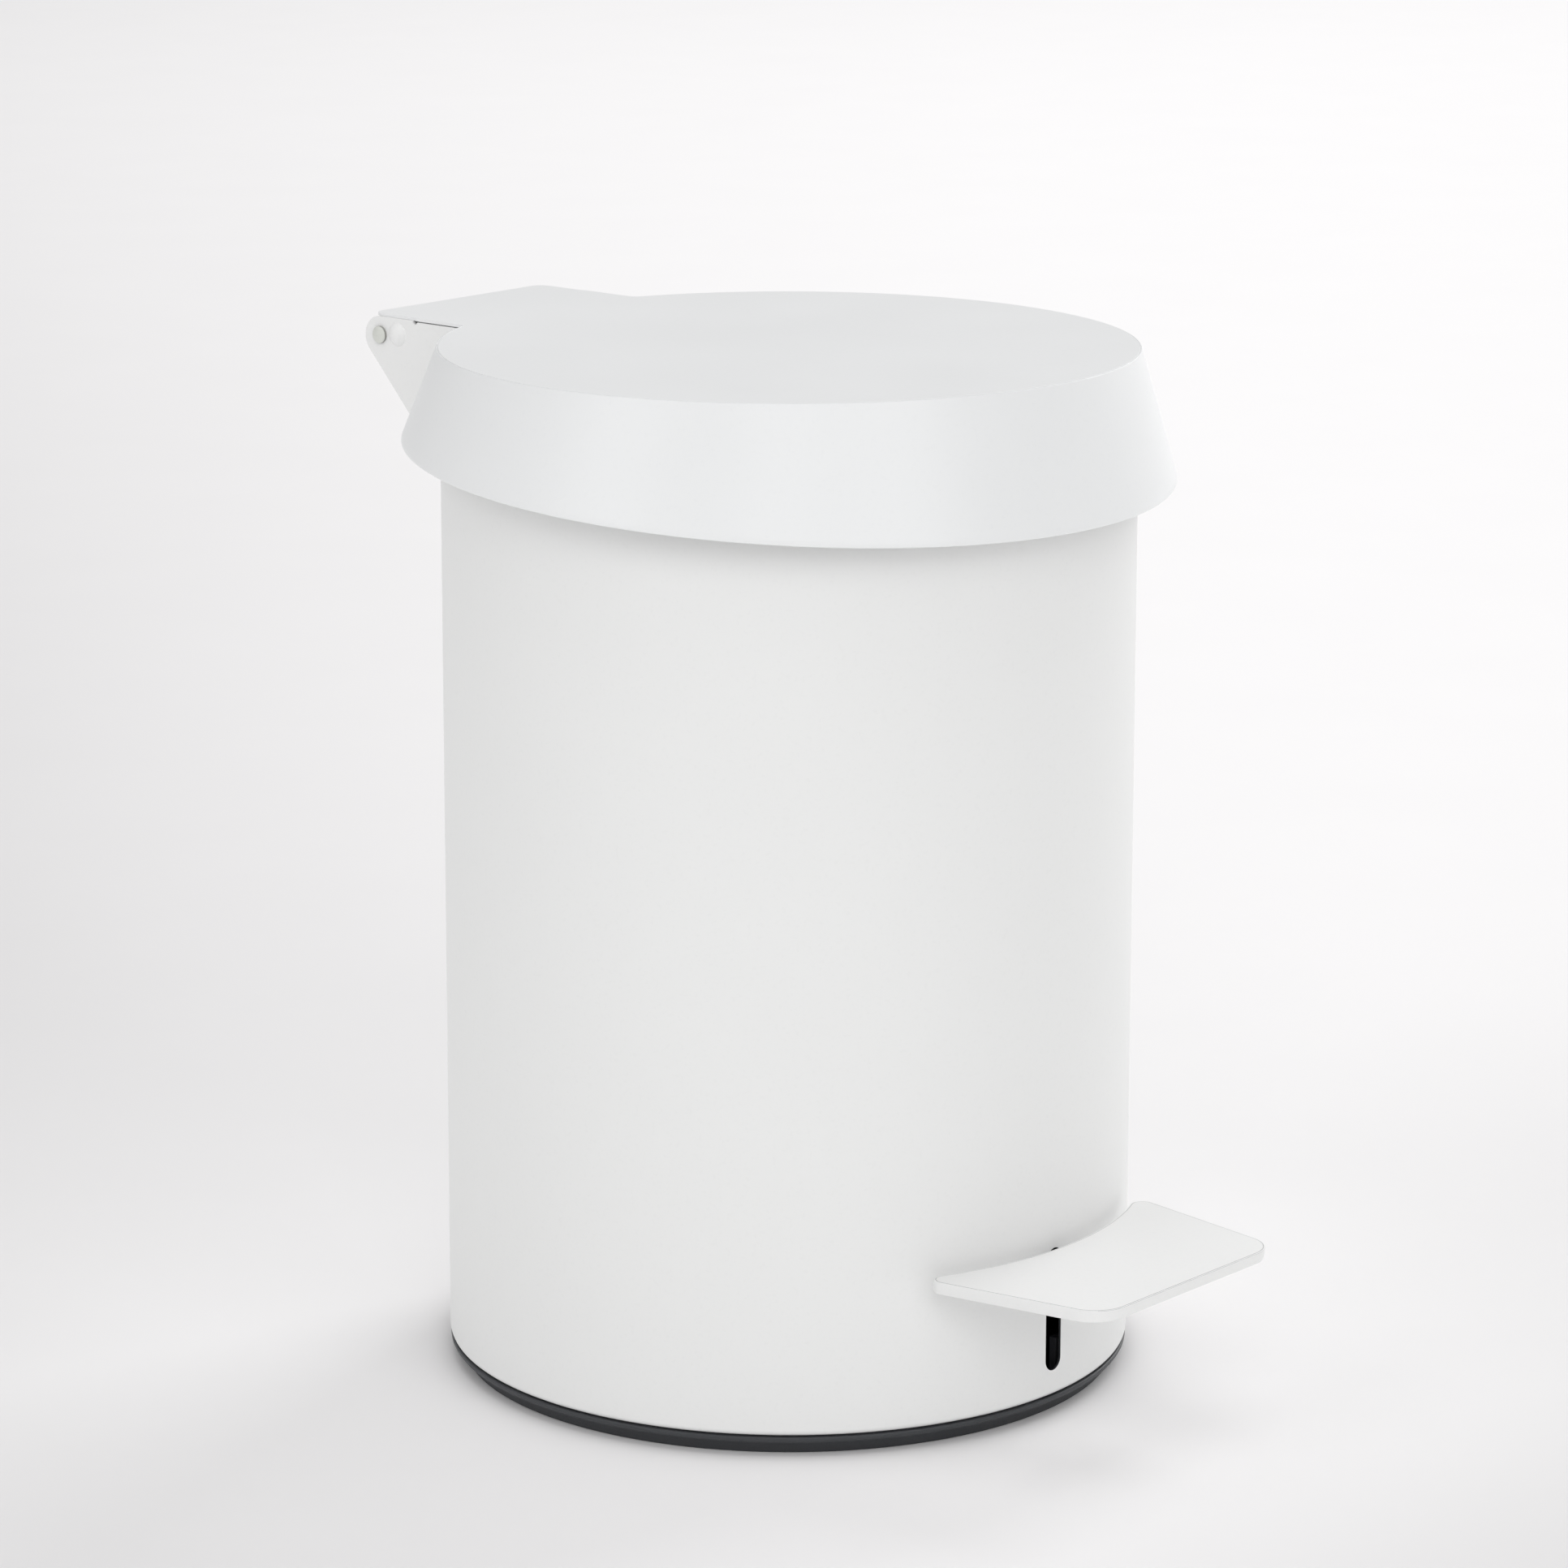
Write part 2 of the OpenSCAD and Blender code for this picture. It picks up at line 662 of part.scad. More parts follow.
module lid_liner() {
  low = lid_under - liner_t;
  color("#3a3a3c") difference() {
    union() {
      translate([0, 0, low]) cylinder(r = liner_r, h = liner_t);
      translate([0, 0, low - liner_lip_h]) difference() {
        cylinder(r = liner_r, h = liner_lip_h + liner_t);
        translate([0, 0, -cut]) cylinder(r = liner_r - liner_lip_t, h = liner_lip_h + cut + liner_t / 2);
      }
      for (r = ribs) translate([0, 0, low - liner_t]) difference() {
        cylinder(r = r + rib_w / 2, h = liner_t + cut / 2);
        translate([0, 0, -cut]) cylinder(r = r - rib_w / 2, h = liner_t + 2 * cut);
      }
    }
    translate([-cheek_x - cut, liner_rear, 0]) cube([2 * (cheek_x + cut), far, far]);
  }
}
module yoke_ear() {
  difference() {
    union() {
      translate([hinge_y, hinge_z]) circle(r = ear_r);
      translate([hinge_y + tongue_back - yoke_inset - ear_w, hinge_z]) square([ear_w, lid_under - hinge_z]);
      translate([hinge_y, hinge_z]) polygon([
        [0, 0],
        [-lobe_r * cos(lobe_angle), -lobe_r * sin(lobe_angle)],
        [-lobe_r * cos(lobe_end_angle), -lobe_r * sin(lobe_end_angle)]
      ]);
    }
    translate([hinge_y, hinge_z]) circle(d = bush_d + 2 * fit_gap);
  }
}
module lid_yoke() {
  color("silver") {
    translate([-ear_in - yoke_t, yoke_front, lid_under - yoke_t])
      cube([2 * (ear_in + yoke_t), hinge_y + tongue_back - yoke_inset - yoke_front, yoke_t]);
    both_sides() along_x(ear_in, ear_in + yoke_t) yoke_ear();
  }
}
module hinge_bushes() {
  color("ivory") both_sides() translate([0, hinge_y, hinge_z]) difference() {
    union() {
      bar_x(ear_in, ear_in + yoke_t, bush_d);
      bar_x(ear_in + yoke_t, ear_in + yoke_t + bush_flange_t, bush_flange_d);
    }
    bar_x(ear_in - cut, cheek_x, hinge_pin_d + 2 * fit_gap);
  }
}
module crank_arm() {
  difference() {
    union() {
      translate([crank_y, crank_z]) circle(r = arm_r);
      polygon([
        [crank_y - arm_r, crank_z], [arm_front, lid_under - yoke_t], [arm_back, lid_under - yoke_t],
        [crank_y + arm_r, crank_z]
      ]);
    }
    translate([crank_y, crank_z]) circle(d = rod_d + 2 * fit_gap);
  }
}
module lid_crank() {
  color("silver") {
    both_sides() along_x(arm_in, arm_in + arm_t) crank_arm();
    translate([-arm_in - arm_t - arm_foot, arm_front, lid_under - yoke_t - arm_t])
      cube([2 * (arm_in + arm_t + arm_foot), arm_back - arm_front, arm_t]);
  }
}
crank_pin_half = arm_in + arm_t + clip_gap + clip_t + pin_end;
module crank_pin() {
  color("silver") translate([0, crank_y, crank_z]) bar_x(-crank_pin_half, crank_pin_half, rod_d);
}
module crank_pin_clips() {
  color("dimgray") both_sides() translate([0, crank_y, crank_z]) ring_x(arm_in + arm_t + clip_gap, rod_d);
}
module lid_buttons() {
  color("#222222") for (k = [0 : button_count - 1]) rotate([0, 0, 45 + k * 360 / button_count])
    translate([0, button_r, lid_under - button_h]) cylinder(d = button_d, h = button_h);
}

// ---- Pedal ----
// Right half of the tread seen from above
module tread_half_outline() {
  front = -(body_r + tread_reach);
  arc = body_r + tread_gap;
  t = tan(tread_flare);
  tangent = tread_corner / tan(45 + tread_flare / 2);
  a = tread_half - front * t - tread_tip / cos(tread_flare);
  tip_y = on_circle_y(a, t, arc + tread_tip);
  tip_x = a + t * tip_y;
  difference() {
    union() {
      polygon([
        [0, front], [tread_half - tangent, front],
        [tread_half + tangent * sin(tread_flare), front + tangent * cos(tread_flare)],
        [tip_x + tread_tip * cos(tread_flare), tip_y - tread_tip * sin(tread_flare)],
        [tip_x, tip_y],
        [tip_x * arc / (arc + tread_tip), tip_y * arc / (arc + tread_tip)],
        [tip_x * (arc - tread_tip) / arc, tip_y * (arc - tread_tip) / arc],
        [0, -arc + tread_tip]
      ]);
      translate([tread_half - tangent, front + tread_corner]) circle(r = tread_corner);
      translate([tip_x, tip_y]) circle(r = tread_tip);
    }
    circle(r = arc);
    translate([-far, -far / 2]) square(far);
  }
}
module pedal_tread() {
  color("white") translate([0, 0, lever_top]) linear_extrude(tread_t) union() {
    tread_half_outline();
    mirror([1, 0]) tread_half_outline();
  }
}
module lever_profile() {
  side_y = lever_h / 2 * sin(lever_dip);
  side_z = lever_h / 2 * cos(lever_dip);
  polygon([
    [lever_tip_y, lever_top], [lever_bend_y, lever_top],
    [rod_y + side_y, lever_rear_z + side_z], [rod_y - side_y, lever_rear_z - side_z],
    [lever_bend_y - side_y, lever_z - side_z],
    [lever_deep_y, lever_top - lever_h], [lever_tip_y, lever_top - lever_tip_h]
  ]);
  translate([rod_y, lever_rear_z]) circle(d = lever_h);
}
module pedal_lever() {
  color("silver") difference() {
    union() {
      along_x(-lever_t / 2, lever_t / 2) lever_profile();
      translate([0, pivot_y, pivot_z]) bar_x(-lever_t / 2, lever_t / 2, 2 * lever_hub_r);
    }
    translate([0, pivot_y, pivot_z]) bar_x(-lever_t, lever_t, bush_outer + 2 * fit_gap);
    translate([0, rod_y, lever_rear_z]) bar_x(-lever_t, lever_t, rod_d + 2 * fit_gap);
  }
}
module lever_bush() {
  half = bracket_x - seat_gap;
  color("ivory") translate([0, pivot_y, pivot_z]) difference() {
    bar_x(-half, half, bush_outer);
    bar_x(-half - cut, half + cut, pivot_d + 2 * fit_gap);
  }
}
tine_in = lever_t / 2 + clevis_gap;
link_pin_half = tine_in + clevis_t + clip_gap + clip_t + pin_end;
module link_pin() {
  color("silver") translate([0, rod_y, lever_rear_z]) bar_x(-link_pin_half, link_pin_half, rod_d);
}
module link_pin_clips() {
  color("dimgray") both_sides()
    translate([0, rod_y, lever_rear_z]) ring_x(tine_in + clevis_t + clip_gap, rod_d);
}

// ---- Push rod ----
module push_rod() {
  foot = lever_rear_z + clevis_roof + fit_gap;
  turn = 90 - cheek_slope;
  up = [0, rod_d * tan(turn / 2) / 2 + fit_gap];
  slant = norm(up) * [sin(turn), cos(turn)];
  knee = [rod_y, rod_knee_z];
  bend = [head_y, rod_bend_z];
  color("silver") {
    yz_bar([rod_y, foot], knee - up, rod_d);
    yz_bar(knee + slant, bend - slant, rod_d);
    yz_bar(bend + up, [head_y, crank_z - head_h / 2 - fit_gap], rod_d);
    for (p = [knee, bend]) translate([0, p[0], p[1]]) sphere(d = rod_d + bend_swell);
  }
}
module rod_head() {
  half_y = rod_d / 2 + head_play_y;
  color("silver") translate([0, head_y, crank_z]) difference() {
    union() {
      along_x(-head_t / 2, head_t / 2) stadium(half_y + head_rim, head_h / 2);
      translate([0, 0, -head_h / 2 - boss_h]) cylinder(d = boss_d, h = boss_h + head_rim);
    }
    along_x(-boss_d, boss_d) stadium(half_y, rod_d / 2 + head_play_z);
    translate([0, 0, -head_h / 2 - boss_h - cut]) cylinder(d = rod_d + 2 * fit_gap, h = boss_h + cut);
  }
}
module rod_foot() {
  half_x = tine_in + clevis_t;
  color("silver") translate([0, rod_y, lever_rear_z]) difference() {
    translate([-half_x, pin_sway - clevis_y, -clevis_low])
      cube([2 * half_x, 2 * clevis_y, clevis_low + clevis_roof + clevis_cap]);
    translate([-tine_in, pin_sway - clevis_y - cut, -clevis_low - cut])
      cube([2 * tine_in, 2 * clevis_y + 2 * cut, clevis_low + clevis_roof + cut]);
    along_x(-half_x - cut, half_x + cut) translate([pin_sway, 0])
      stadium(rod_d / 2 + clevis_play_y, rod_d / 2 + seat_gap);
    cylinder(d = rod_d + 2 * fit_gap, h = far);
  }
}

// ---- Bucket ----
module bucket_profile() {
  under = bucket_top - bucket_lip_h;
  polygon([
    [0, bucket_z], [bucket_foot_r, bucket_z], [bucket_r, bucket_top - bucket_lip_t],
    [lip_r - bucket_lip_t, bucket_top - bucket_lip_t], [lip_r - bucket_lip_t, under],
    [lip_r, under], [lip_r, bucket_top], [bucket_r - bucket_wall, bucket_top],
    [bucket_foot_r - bucket_wall, bucket_z + bucket_wall], [0, bucket_z + bucket_wall]
  ]);
}
module bucket() {
  color("#4a4b4d") difference() {
    union() {
      rotate_extrude() bucket_profile();
      both_sides() difference() {
        union() {
          translate([0, -ear_half_y, ear_z - ear_half_z])
            cube([lip_r + ear_reach, 2 * ear_half_y, ear_half_z + bucket_lip_h]);
          rotate([0, 0, lug_angle]) translate([-lug_w / 2, -bail_r - lug_reach, ear_z - bail_d / 2 - lug_h])
            cube([lug_w, bail_r, lug_h - fit_gap]);
        }
        translate([0, 0, bucket_z])
          cylinder(r1 = bucket_foot_r - cut, r2 = bucket_r - cut, h = bucket_top - bucket_z);
      }
    }
    both_sides() translate([0, 0, ear_z])
      bar_x(bucket_r + 0.5, body_r, bail_d + 2 * bail_play);
  }
}
module bail_wire() {
  color("silver") translate([0, 0, ear_z]) {
    rotate([0, 0, 180]) rotate_extrude(angle = 180) translate([bail_r, 0]) circle(d = bail_d);
    both_sides() {
      bar_x(bucket_r + socket_tip, bail_r, bail_d);
      translate([bail_r, 0, 0]) sphere(d = bail_d);
    }
  }
}
module bail_grip() {
  color("#222222") translate([0, 0, ear_z]) rotate([0, 0, -90 - grip_angle / 2])
    rotate_extrude(angle = grip_angle) translate([bail_r, 0]) difference() {
      circle(d = grip_d);
      circle(d = bail_d + 2 * fit_gap);
    }
}

body_shell();
base();
pivot_bracket();
pivot_screws();
pivot_pin();
pivot_clips();
pedal_stop_bumper();
lever_rest_pad();
rod_guide_lower();
rod_guide_upper();
bracket_cheek_left();
bracket_cheek_right();
bracket_web();
bracket_rivets();
hinge_pin();
hinge_screw();
stop_bar();
lid_shell();
lid_liner();
lid_yoke();
hinge_bushes();
lid_crank();
crank_pin();
crank_pin_clips();
lid_buttons();
pedal_tread();
pedal_lever();
lever_bush();
link_pin();
link_pin_clips();
push_rod();
rod_head();
rod_foot();
bucket();
bail_wire();
bail_grip();
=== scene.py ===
import math

import bmesh
import bpy
from mathutils import Matrix, Vector

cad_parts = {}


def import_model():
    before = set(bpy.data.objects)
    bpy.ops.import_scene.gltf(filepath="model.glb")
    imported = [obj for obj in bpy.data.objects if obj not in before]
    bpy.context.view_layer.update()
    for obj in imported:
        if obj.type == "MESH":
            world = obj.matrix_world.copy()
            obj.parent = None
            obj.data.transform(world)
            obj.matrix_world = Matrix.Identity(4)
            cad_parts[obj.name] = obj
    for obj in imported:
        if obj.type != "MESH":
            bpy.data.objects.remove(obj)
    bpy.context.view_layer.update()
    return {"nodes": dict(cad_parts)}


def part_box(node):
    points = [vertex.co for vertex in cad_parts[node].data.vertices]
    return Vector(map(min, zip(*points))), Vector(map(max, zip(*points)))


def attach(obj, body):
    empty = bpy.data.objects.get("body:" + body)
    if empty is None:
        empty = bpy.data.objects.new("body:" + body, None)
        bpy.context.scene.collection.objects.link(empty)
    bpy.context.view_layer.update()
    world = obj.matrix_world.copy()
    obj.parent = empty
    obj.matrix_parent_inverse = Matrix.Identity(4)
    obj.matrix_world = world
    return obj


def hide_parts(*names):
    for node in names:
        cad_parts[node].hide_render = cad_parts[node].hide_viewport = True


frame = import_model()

MM = 0.001
NODES = frame["nodes"]
scene = bpy.context.scene


def side(node, end, axis):
    """One side of a CAD node's box at rest, in millimetres: end 0 is the low one, 1 the high one."""
    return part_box(node)[end]["xyz".index(axis)] / MM


def middle(node, axis):
    return (side(node, 0, axis) + side(node, 1, axis)) / 2


# ---- Sizes in millimetres, from the frame where a node gives them ----
# x runs to the right as seen from the pedal, y from the pedal to the hinge, and z up.

# Body: rolled sheet with a hem at the top, a curl at the bottom, the pedal's slot and the crank's notch
BODY_R = side("body_shell", 1, "x")
BODY_TOP = side("body_shell", 1, "z")
WALL = 0.8
HEM_R = 1.4
CURL_R = 2.0
CURL_LOW = side("body_shell", 0, "z")
SLOT_W = 7.0
SLOT_LOW = 13.9
SLOT_HIGH = 51.4
NOTCH_W = 18
NOTCH_LOW = 260.5

# Base: the foot's radius at the floor and the lip below the body
FOOT_R = side("base", 1, "x") - 3.4
LIP_R = side("base", 1, "x") + 0.48
LIP_LOW = 4.4
LIP_HIGH = 5.75
LIP_ROUND = 0.4
LIP_DEPTH = 1.2

# Lid: flat top plate with a tongue, and a flared skirt whose rim is raked
LID_Z = side("lid_shell", 1, "z")
LID_SHEET = 0.95
LID_R = BODY_R + 0.72
LID_SHIFT = 0.25
SEAM = 0.44
SKIRT_SHEET = 0.75
RIM_R = side("lid_shell", 1, "x")
RIM_RAKE = math.radians(3.8)
RIM_Z = LID_Z - 32.9
RIM_SHEET = 1.5

# Hinge bracket: two side plates, each with a flange along the body
HINGE_Y = middle("hinge_pin", "y")
HINGE_Z = middle("hinge_pin", "z")
CHEEK_X = side("bracket_cheek_right", 1, "x")
CHEEK_T = 1.5
CHEEK_R = LID_Z - LID_SHEET - HINGE_Z - 0.02
CHEEK_SLOPE = math.radians(47.7)
SLIT_Z = LID_Z - LID_SHEET - 0.34
RELIEF_R = 1.1
FLANGE_W = 12
FLANGE_LOW = 262
FLANGE_HIGH = 299.5
FLANGE_GAP = 0.03

# Tongue: a little narrower behind the step
STEP_Y = HINGE_Y - 14.9
TONGUE_BACK = side("lid_shell", 1, "y")
TONGUE_STEP = 0.6
TONGUE_FILLET = 4
TONGUE_CORNER = 4

# Pin: the head is domed and stands a little higher than the shaft's axis
PIN_R = 2.4
HEAD_R = 2.62
HEAD_T = 0.8
HEAD_BULGE = 0.7
HEAD_LIFT = 0.55

# Pedal tread: flared sides, rounded corners, a rear arc round the body and a fine line along the upper edge
TREAD_TOP = side("pedal_tread", 1, "z")
TREAD_LOW = side("pedal_tread", 0, "z")
TREAD_FRONT = side("pedal_tread", 0, "y")
TREAD_HALF = 41
TREAD_FLARE = math.radians(9.45)
TREAD_CORNER = 11
TREAD_TIP = 3.8
TREAD_ARC = BODY_R + 3.5
TREAD_UNDER = 0.32
TREAD_OVER = 0.22
TREAD_RIM = 0.02
TREAD_LINE = 0.22
TREAD_LEAN = 0.2
TREAD_LEAN_REACH = 8

# ---- Camera, in metres, at the photograph's viewing angle ----
VIEW_PLACE = Vector((-1243.5, -1076.5, 571.8)) * MM
VIEW_AHEAD = Vector((0.7379, 0.6400, -0.2143)).normalized()
VIEW_ROLL = 0.0014
SENSOR = 36
FOCAL_PER_WIDTH = 3.6207
SHIFT_UP = -0.0776


def make_camera():
    data = bpy.data.cameras.new("camera")
    data.sensor_width = SENSOR
    data.lens = SENSOR * FOCAL_PER_WIDTH
    data.shift_y = SHIFT_UP
    data.clip_start = 0.05
    data.clip_end = 100
    cam = bpy.data.objects.new("camera", data)
    scene.collection.objects.link(cam)
    right = VIEW_AHEAD.cross(Vector((0, 0, 1))).normalized()
    up = right.cross(VIEW_AHEAD)
    across = right * math.cos(VIEW_ROLL) + up * math.sin(VIEW_ROLL)
    top = up * math.cos(VIEW_ROLL) - right * math.sin(VIEW_ROLL)
    turn = Matrix((across, top, -VIEW_AHEAD)).transposed()
    cam.matrix_world = Matrix.Translation(VIEW_PLACE) @ turn.to_4x4()
    scene.camera = cam


make_camera()


# ---- Materials ----
class Shader:
    """A few shorthands for building one material's nodes."""

    def __init__(self, name):
        self.material = bpy.data.materials.new(name)
        self.material.use_nodes = True
        self.tree = self.material.node_tree
        self.tree.nodes.clear()
        self.out = self.add("ShaderNodeOutputMaterial")
        self.place = self.add("ShaderNodeTexCoord").outputs["Object"]

    def add(self, kind, **values):
        node = self.tree.nodes.new(kind)
        for key, value in values.items():
            setattr(node, key, value)
        return node

    def put(self, socket, value):
        if isinstance(value, bpy.types.NodeSocket):
            self.tree.links.new(value, socket)
        else:
            socket.default_value = value

    def math(self, operation, a, b):
        node = self.add("ShaderNodeMath", operation=operation)
        self.put(node.inputs[0], a)
        self.put(node.inputs[1], b)
        return node.outputs[0]

    def noise(self, size, detail=4, stretch=(1, 1, 1)):
        """Noise with features of the given size in millimetres, longer where stretch is larger."""
        move = self.add("ShaderNodeMapping")
        move.inputs["Scale"].default_value = [1 / v for v in stretch]
        self.put(move.inputs["Vector"], self.place)
        node = self.add("ShaderNodeTexNoise")
        node.inputs["Scale"].default_value = 1 / (size * MM)
        node.inputs["Detail"].default_value = detail
        self.put(node.inputs["Vector"], move.outputs[0])
        return node.outputs[0]

    def ramp(self, value, low, high, to_low=0.0, to_high=1.0, **settings):
        """The value, spread from the range low to high over the range to_low to to_high."""
        node = self.add("ShaderNodeMapRange", **settings)
        self.put(node.inputs["Value"], value)
        ends = {"From Min": low, "From Max": high, "To Min": to_low, "To Max": to_high}
        for key, number in ends.items():
            self.put(node.inputs[key], number)
        return node.outputs[0]

    def vary(self, noise, low, high):
        """Noise, which lies mostly between 0.3 and 0.7, spread over the range low to high."""
        return self.ramp(noise, 0.3, 0.7, low, high)

    def mix(self, factor, a, b):
        node = self.add("ShaderNodeMix", data_type="RGBA")
        self.put(node.inputs[0], factor)
        for slot, color in ((6, a), (7, b)):
            self.put(node.inputs[slot], (*color, 1) if isinstance(color, tuple) else color)
        return node.outputs[2]


def tint(color, share):
    return tuple(min(1.0, c * share) for c in color)


def material(name, color, rough, metallic=0.0, tone=0.02, grain=0.5, relief=0.01, gloss=0.05,
             stretch=(1, 1, 1), edge=0.25, wear=0.0, wear_color=(0.8, 0.8, 0.8), speck=0.0):
    """Painted, moulded or plated surface. Sizes are in millimetres: grain is the size of its fine texture,
    relief the height of that texture, and edge the rounding that its sharp edges seem to have. tone is how
    far the colour varies, gloss how far the roughness varies, wear how strongly the edges are rubbed, and
    speck how strong its dark specks are. stretch draws the texture out along an axis."""
    sh = Shader(name)
    cloud = sh.noise(60, 5)
    fine = sh.noise(grain, 3, stretch)
    base = sh.mix(sh.vary(cloud, 0, 1), tint(color, 1 - tone), tint(color, 1 + tone))
    if speck:
        specks = sh.ramp(sh.noise(grain * 2, 2), 0.56, 0.72, 0, speck)
        base = sh.mix(specks, base, tint(color, 0.6))
    bevel = sh.add("ShaderNodeBevel", samples=4)
    bevel.inputs["Radius"].default_value = edge * MM
    if wear:
        flat = sh.add("ShaderNodeNewGeometry").outputs["Normal"]
        turn = sh.add("ShaderNodeVectorMath", operation="DOT_PRODUCT")
        sh.put(turn.inputs[0], bevel.outputs[0])
        sh.put(turn.inputs[1], flat)
        edges = sh.ramp(turn.outputs["Value"], 0.97, 0.8)
        patches = sh.ramp(sh.noise(4), 0.35, 0.6, 0, wear)
        base = sh.mix(sh.math("MULTIPLY", edges, patches), base, wear_color)
    bsdf = sh.add("ShaderNodeBsdfPrincipled")
    sh.put(bsdf.inputs["Base Color"], base)
    sh.put(bsdf.inputs["Metallic"], metallic)
    swing = gloss / 2
    uneven = sh.math("ADD", sh.vary(fine, -swing, swing), sh.vary(cloud, -swing, swing))
    sh.put(bsdf.inputs["Roughness"], sh.math("ADD", uneven, rough))
    bump = sh.add("ShaderNodeBump")
    bump.inputs["Distance"].default_value = relief * MM
    sh.put(bump.inputs["Height"], fine)
    if edge:
        sh.put(bump.inputs["Normal"], bevel.outputs[0])
    sh.put(bsdf.inputs["Normal"], bump.outputs[0])
    sh.put(sh.out.inputs["Surface"], bsdf.outputs[0])
    return sh.material


# One finish for each material slot of the CAD nodes
FINISHES = {
    "white_coat": dict(
        color=(0.793, 0.793, 0.789), rough=0.5, tone=0.006, grain=0.6, relief=0.006, edge=0, speck=0.04),
    "base_plastic": dict(
        color=(0.034, 0.036, 0.041), rough=0.5, tone=0.15, grain=0.35, relief=0.03, gloss=0.12,
        wear=0.35, wear_color=(0.12, 0.12, 0.13), speck=0.3),
    "bucket_plastic": dict(
        color=(0.075, 0.077, 0.081), rough=0.48, tone=0.06, grain=0.5, relief=0.02, gloss=0.1, edge=0.4,
        wear=0.3, wear_color=(0.16, 0.16, 0.165), speck=0.15),
    "liner_plastic": dict(
        color=(0.1, 0.1, 0.105), rough=0.5, tone=0.06, grain=0.5, relief=0.02, gloss=0.1, edge=0.3,
        wear=0.2, wear_color=(0.2, 0.2, 0.2)),
    "grip_plastic": dict(
        color=(0.025, 0.025, 0.027), rough=0.42, tone=0.1, grain=0.4, relief=0.02, gloss=0.1,
        wear=0.3, wear_color=(0.1, 0.1, 0.1)),
    "bush_plastic": dict(
        color=(0.72, 0.70, 0.62), rough=0.38, tone=0.03, grain=1.0, relief=0.005, gloss=0.08, edge=0.15),
    "zinc_steel": dict(
        color=(0.62, 0.63, 0.65), rough=0.36, metallic=1, tone=0.12, grain=0.8, relief=0.006, gloss=0.16,
        edge=0.3, wear=0.5, wear_color=(0.85, 0.85, 0.86), speck=0.2),
    "stainless": dict(
        color=(0.78, 0.775, 0.755), rough=0.42, metallic=0.85, tone=0.05, grain=0.25, relief=0.03, gloss=0.12,
        edge=0.4, wear=0.5, wear_color=(0.9, 0.9, 0.89), speck=0.25),
    "spring_steel": dict(
        color=(0.14, 0.14, 0.15), rough=0.34, metallic=1, tone=0.12, grain=0.5, relief=0.006, gloss=0.12,
        edge=0.1),
    "wire_steel": dict(
        color=(0.68, 0.68, 0.69), rough=0.26, metallic=1, tone=0.05, grain=0.4, relief=0.004, gloss=0.1,
        stretch=(6, 6, 1), edge=0),
    "rubber": dict(
        color=(0.03, 0.03, 0.03), rough=0.75, tone=0.12, grain=0.4, relief=0.03, gloss=0.08, edge=0.4),
}
MATS = {name: material(name, **values) for name, values in FINISHES.items()}
PIN_STEEL = material("pin_steel", (0.64, 0.65, 0.61), 0.55, metallic=0.2, tone=0.08, grain=0.5, relief=0.08,
                     gloss=0.12, edge=0.08)
# Darker grey for the pin head's side wall: painted shade
PIN_SIDE_SHADE = material("pin_side_shade", (0.3, 0.3, 0.28), 0.55, tone=0.06, grain=0.3, relief=0.01, edge=0.08)
# Grey for the tread's fine line: painted shade in the groove
GROOVE_SHADE = material("coat_groove_shade", (0.36, 0.37, 0.38), 0.6, tone=0.02, grain=0.6, relief=0.006, edge=0)
# Lid's coat: the lower roughness is its real satin finish, and the faint blue in its colour is a painted
# reflection of the sheen
SATIN_AND_PAINTED_SHEEN = material("white_satin_painted_sheen", (0.793, 0.799, 0.804), 0.36, tone=0.006, grain=0.7, relief=0.004, edge=0,
                 speck=0.03)


def dress():
    """Gives each CAD node the finish of its own slot."""
    for obj in NODES.values():
        for slot in obj.material_slots:
            slot.material = next(MATS[name] for name in MATS if name in slot.material.name)


dress()


# ---- Mesh helpers, in millimetres ----
def arc(cu, cv, r, start, end, steps):
    """Points on a circle, angles in degrees."""
    turn = [math.radians(start + (end - start) * i / steps) for i in range(steps + 1)]
    return [(cu + r * math.cos(a), cv + r * math.sin(a)) for a in turn]


def loft(bm, sections, ring=False):
    """Surface through closed sections with equally many points, capped at both ends unless it is a ring."""
    rows = [[bm.verts.new(p) for p in section] for section in sections]
    if not ring:
        bm.faces.new(rows[0][::-1])
        bm.faces.new(rows[-1])
    count = len(rows[0])
    for i in range(len(rows) - (0 if ring else 1)):
        low, high = rows[i], rows[(i + 1) % len(rows)]
        for k in range(count):
            n = (k + 1) % count
            bm.faces.new((low[k], low[n], high[n], high[k]))


def lathe(bm, profile, steps=720):
    """Ring with the given (radius, height) section."""
    turns = [2 * math.pi * i / steps for i in range(steps)]
    loft(bm, [[(r * math.cos(a), r * math.sin(a), z) for r, z in profile] for a in turns], ring=True)


def box_shape(bm, low, high):
    (x0, y0, z0), (x1, y1, z1) = low, high
    ring = [(x0, y0), (x1, y0), (x1, y1), (x0, y1)]
    loft(bm, [[(x, y, z) for x, y in ring] for z in (z0, z1)])


def moved_in(outline, inset):
    """The closed outline, counter-clockwise, moved towards its inside. Sharp corners move less."""
    result = []
    for i, (u, v) in enumerate(outline):
        before, after = Vector(outline[i - 1]), Vector(outline[(i + 1) % len(outline)])
        here = Vector((u, v))
        a, b = (here - before).normalized(), (after - here).normalized()
        along = (a + b).normalized()
        result.append(here + Vector((-along.y, along.x)) * inset / max(0.3, along.dot(a)))
    return [tuple(p) for p in result]


def slab(bm, outline, edge, place=lambda u, v, w: (u, v, w)):
    """Plate on an outline; edge lists (inset, height) from one face round to the other."""
    loft(bm, [[place(u, v, w) for u, v in moved_in(outline, inset)] for inset, w in edge])


def flip(outline):
    """The outline's mirror image with u reversed, counter-clockwise again."""
    return [(-u, v) for u, v in outline[::-1]]


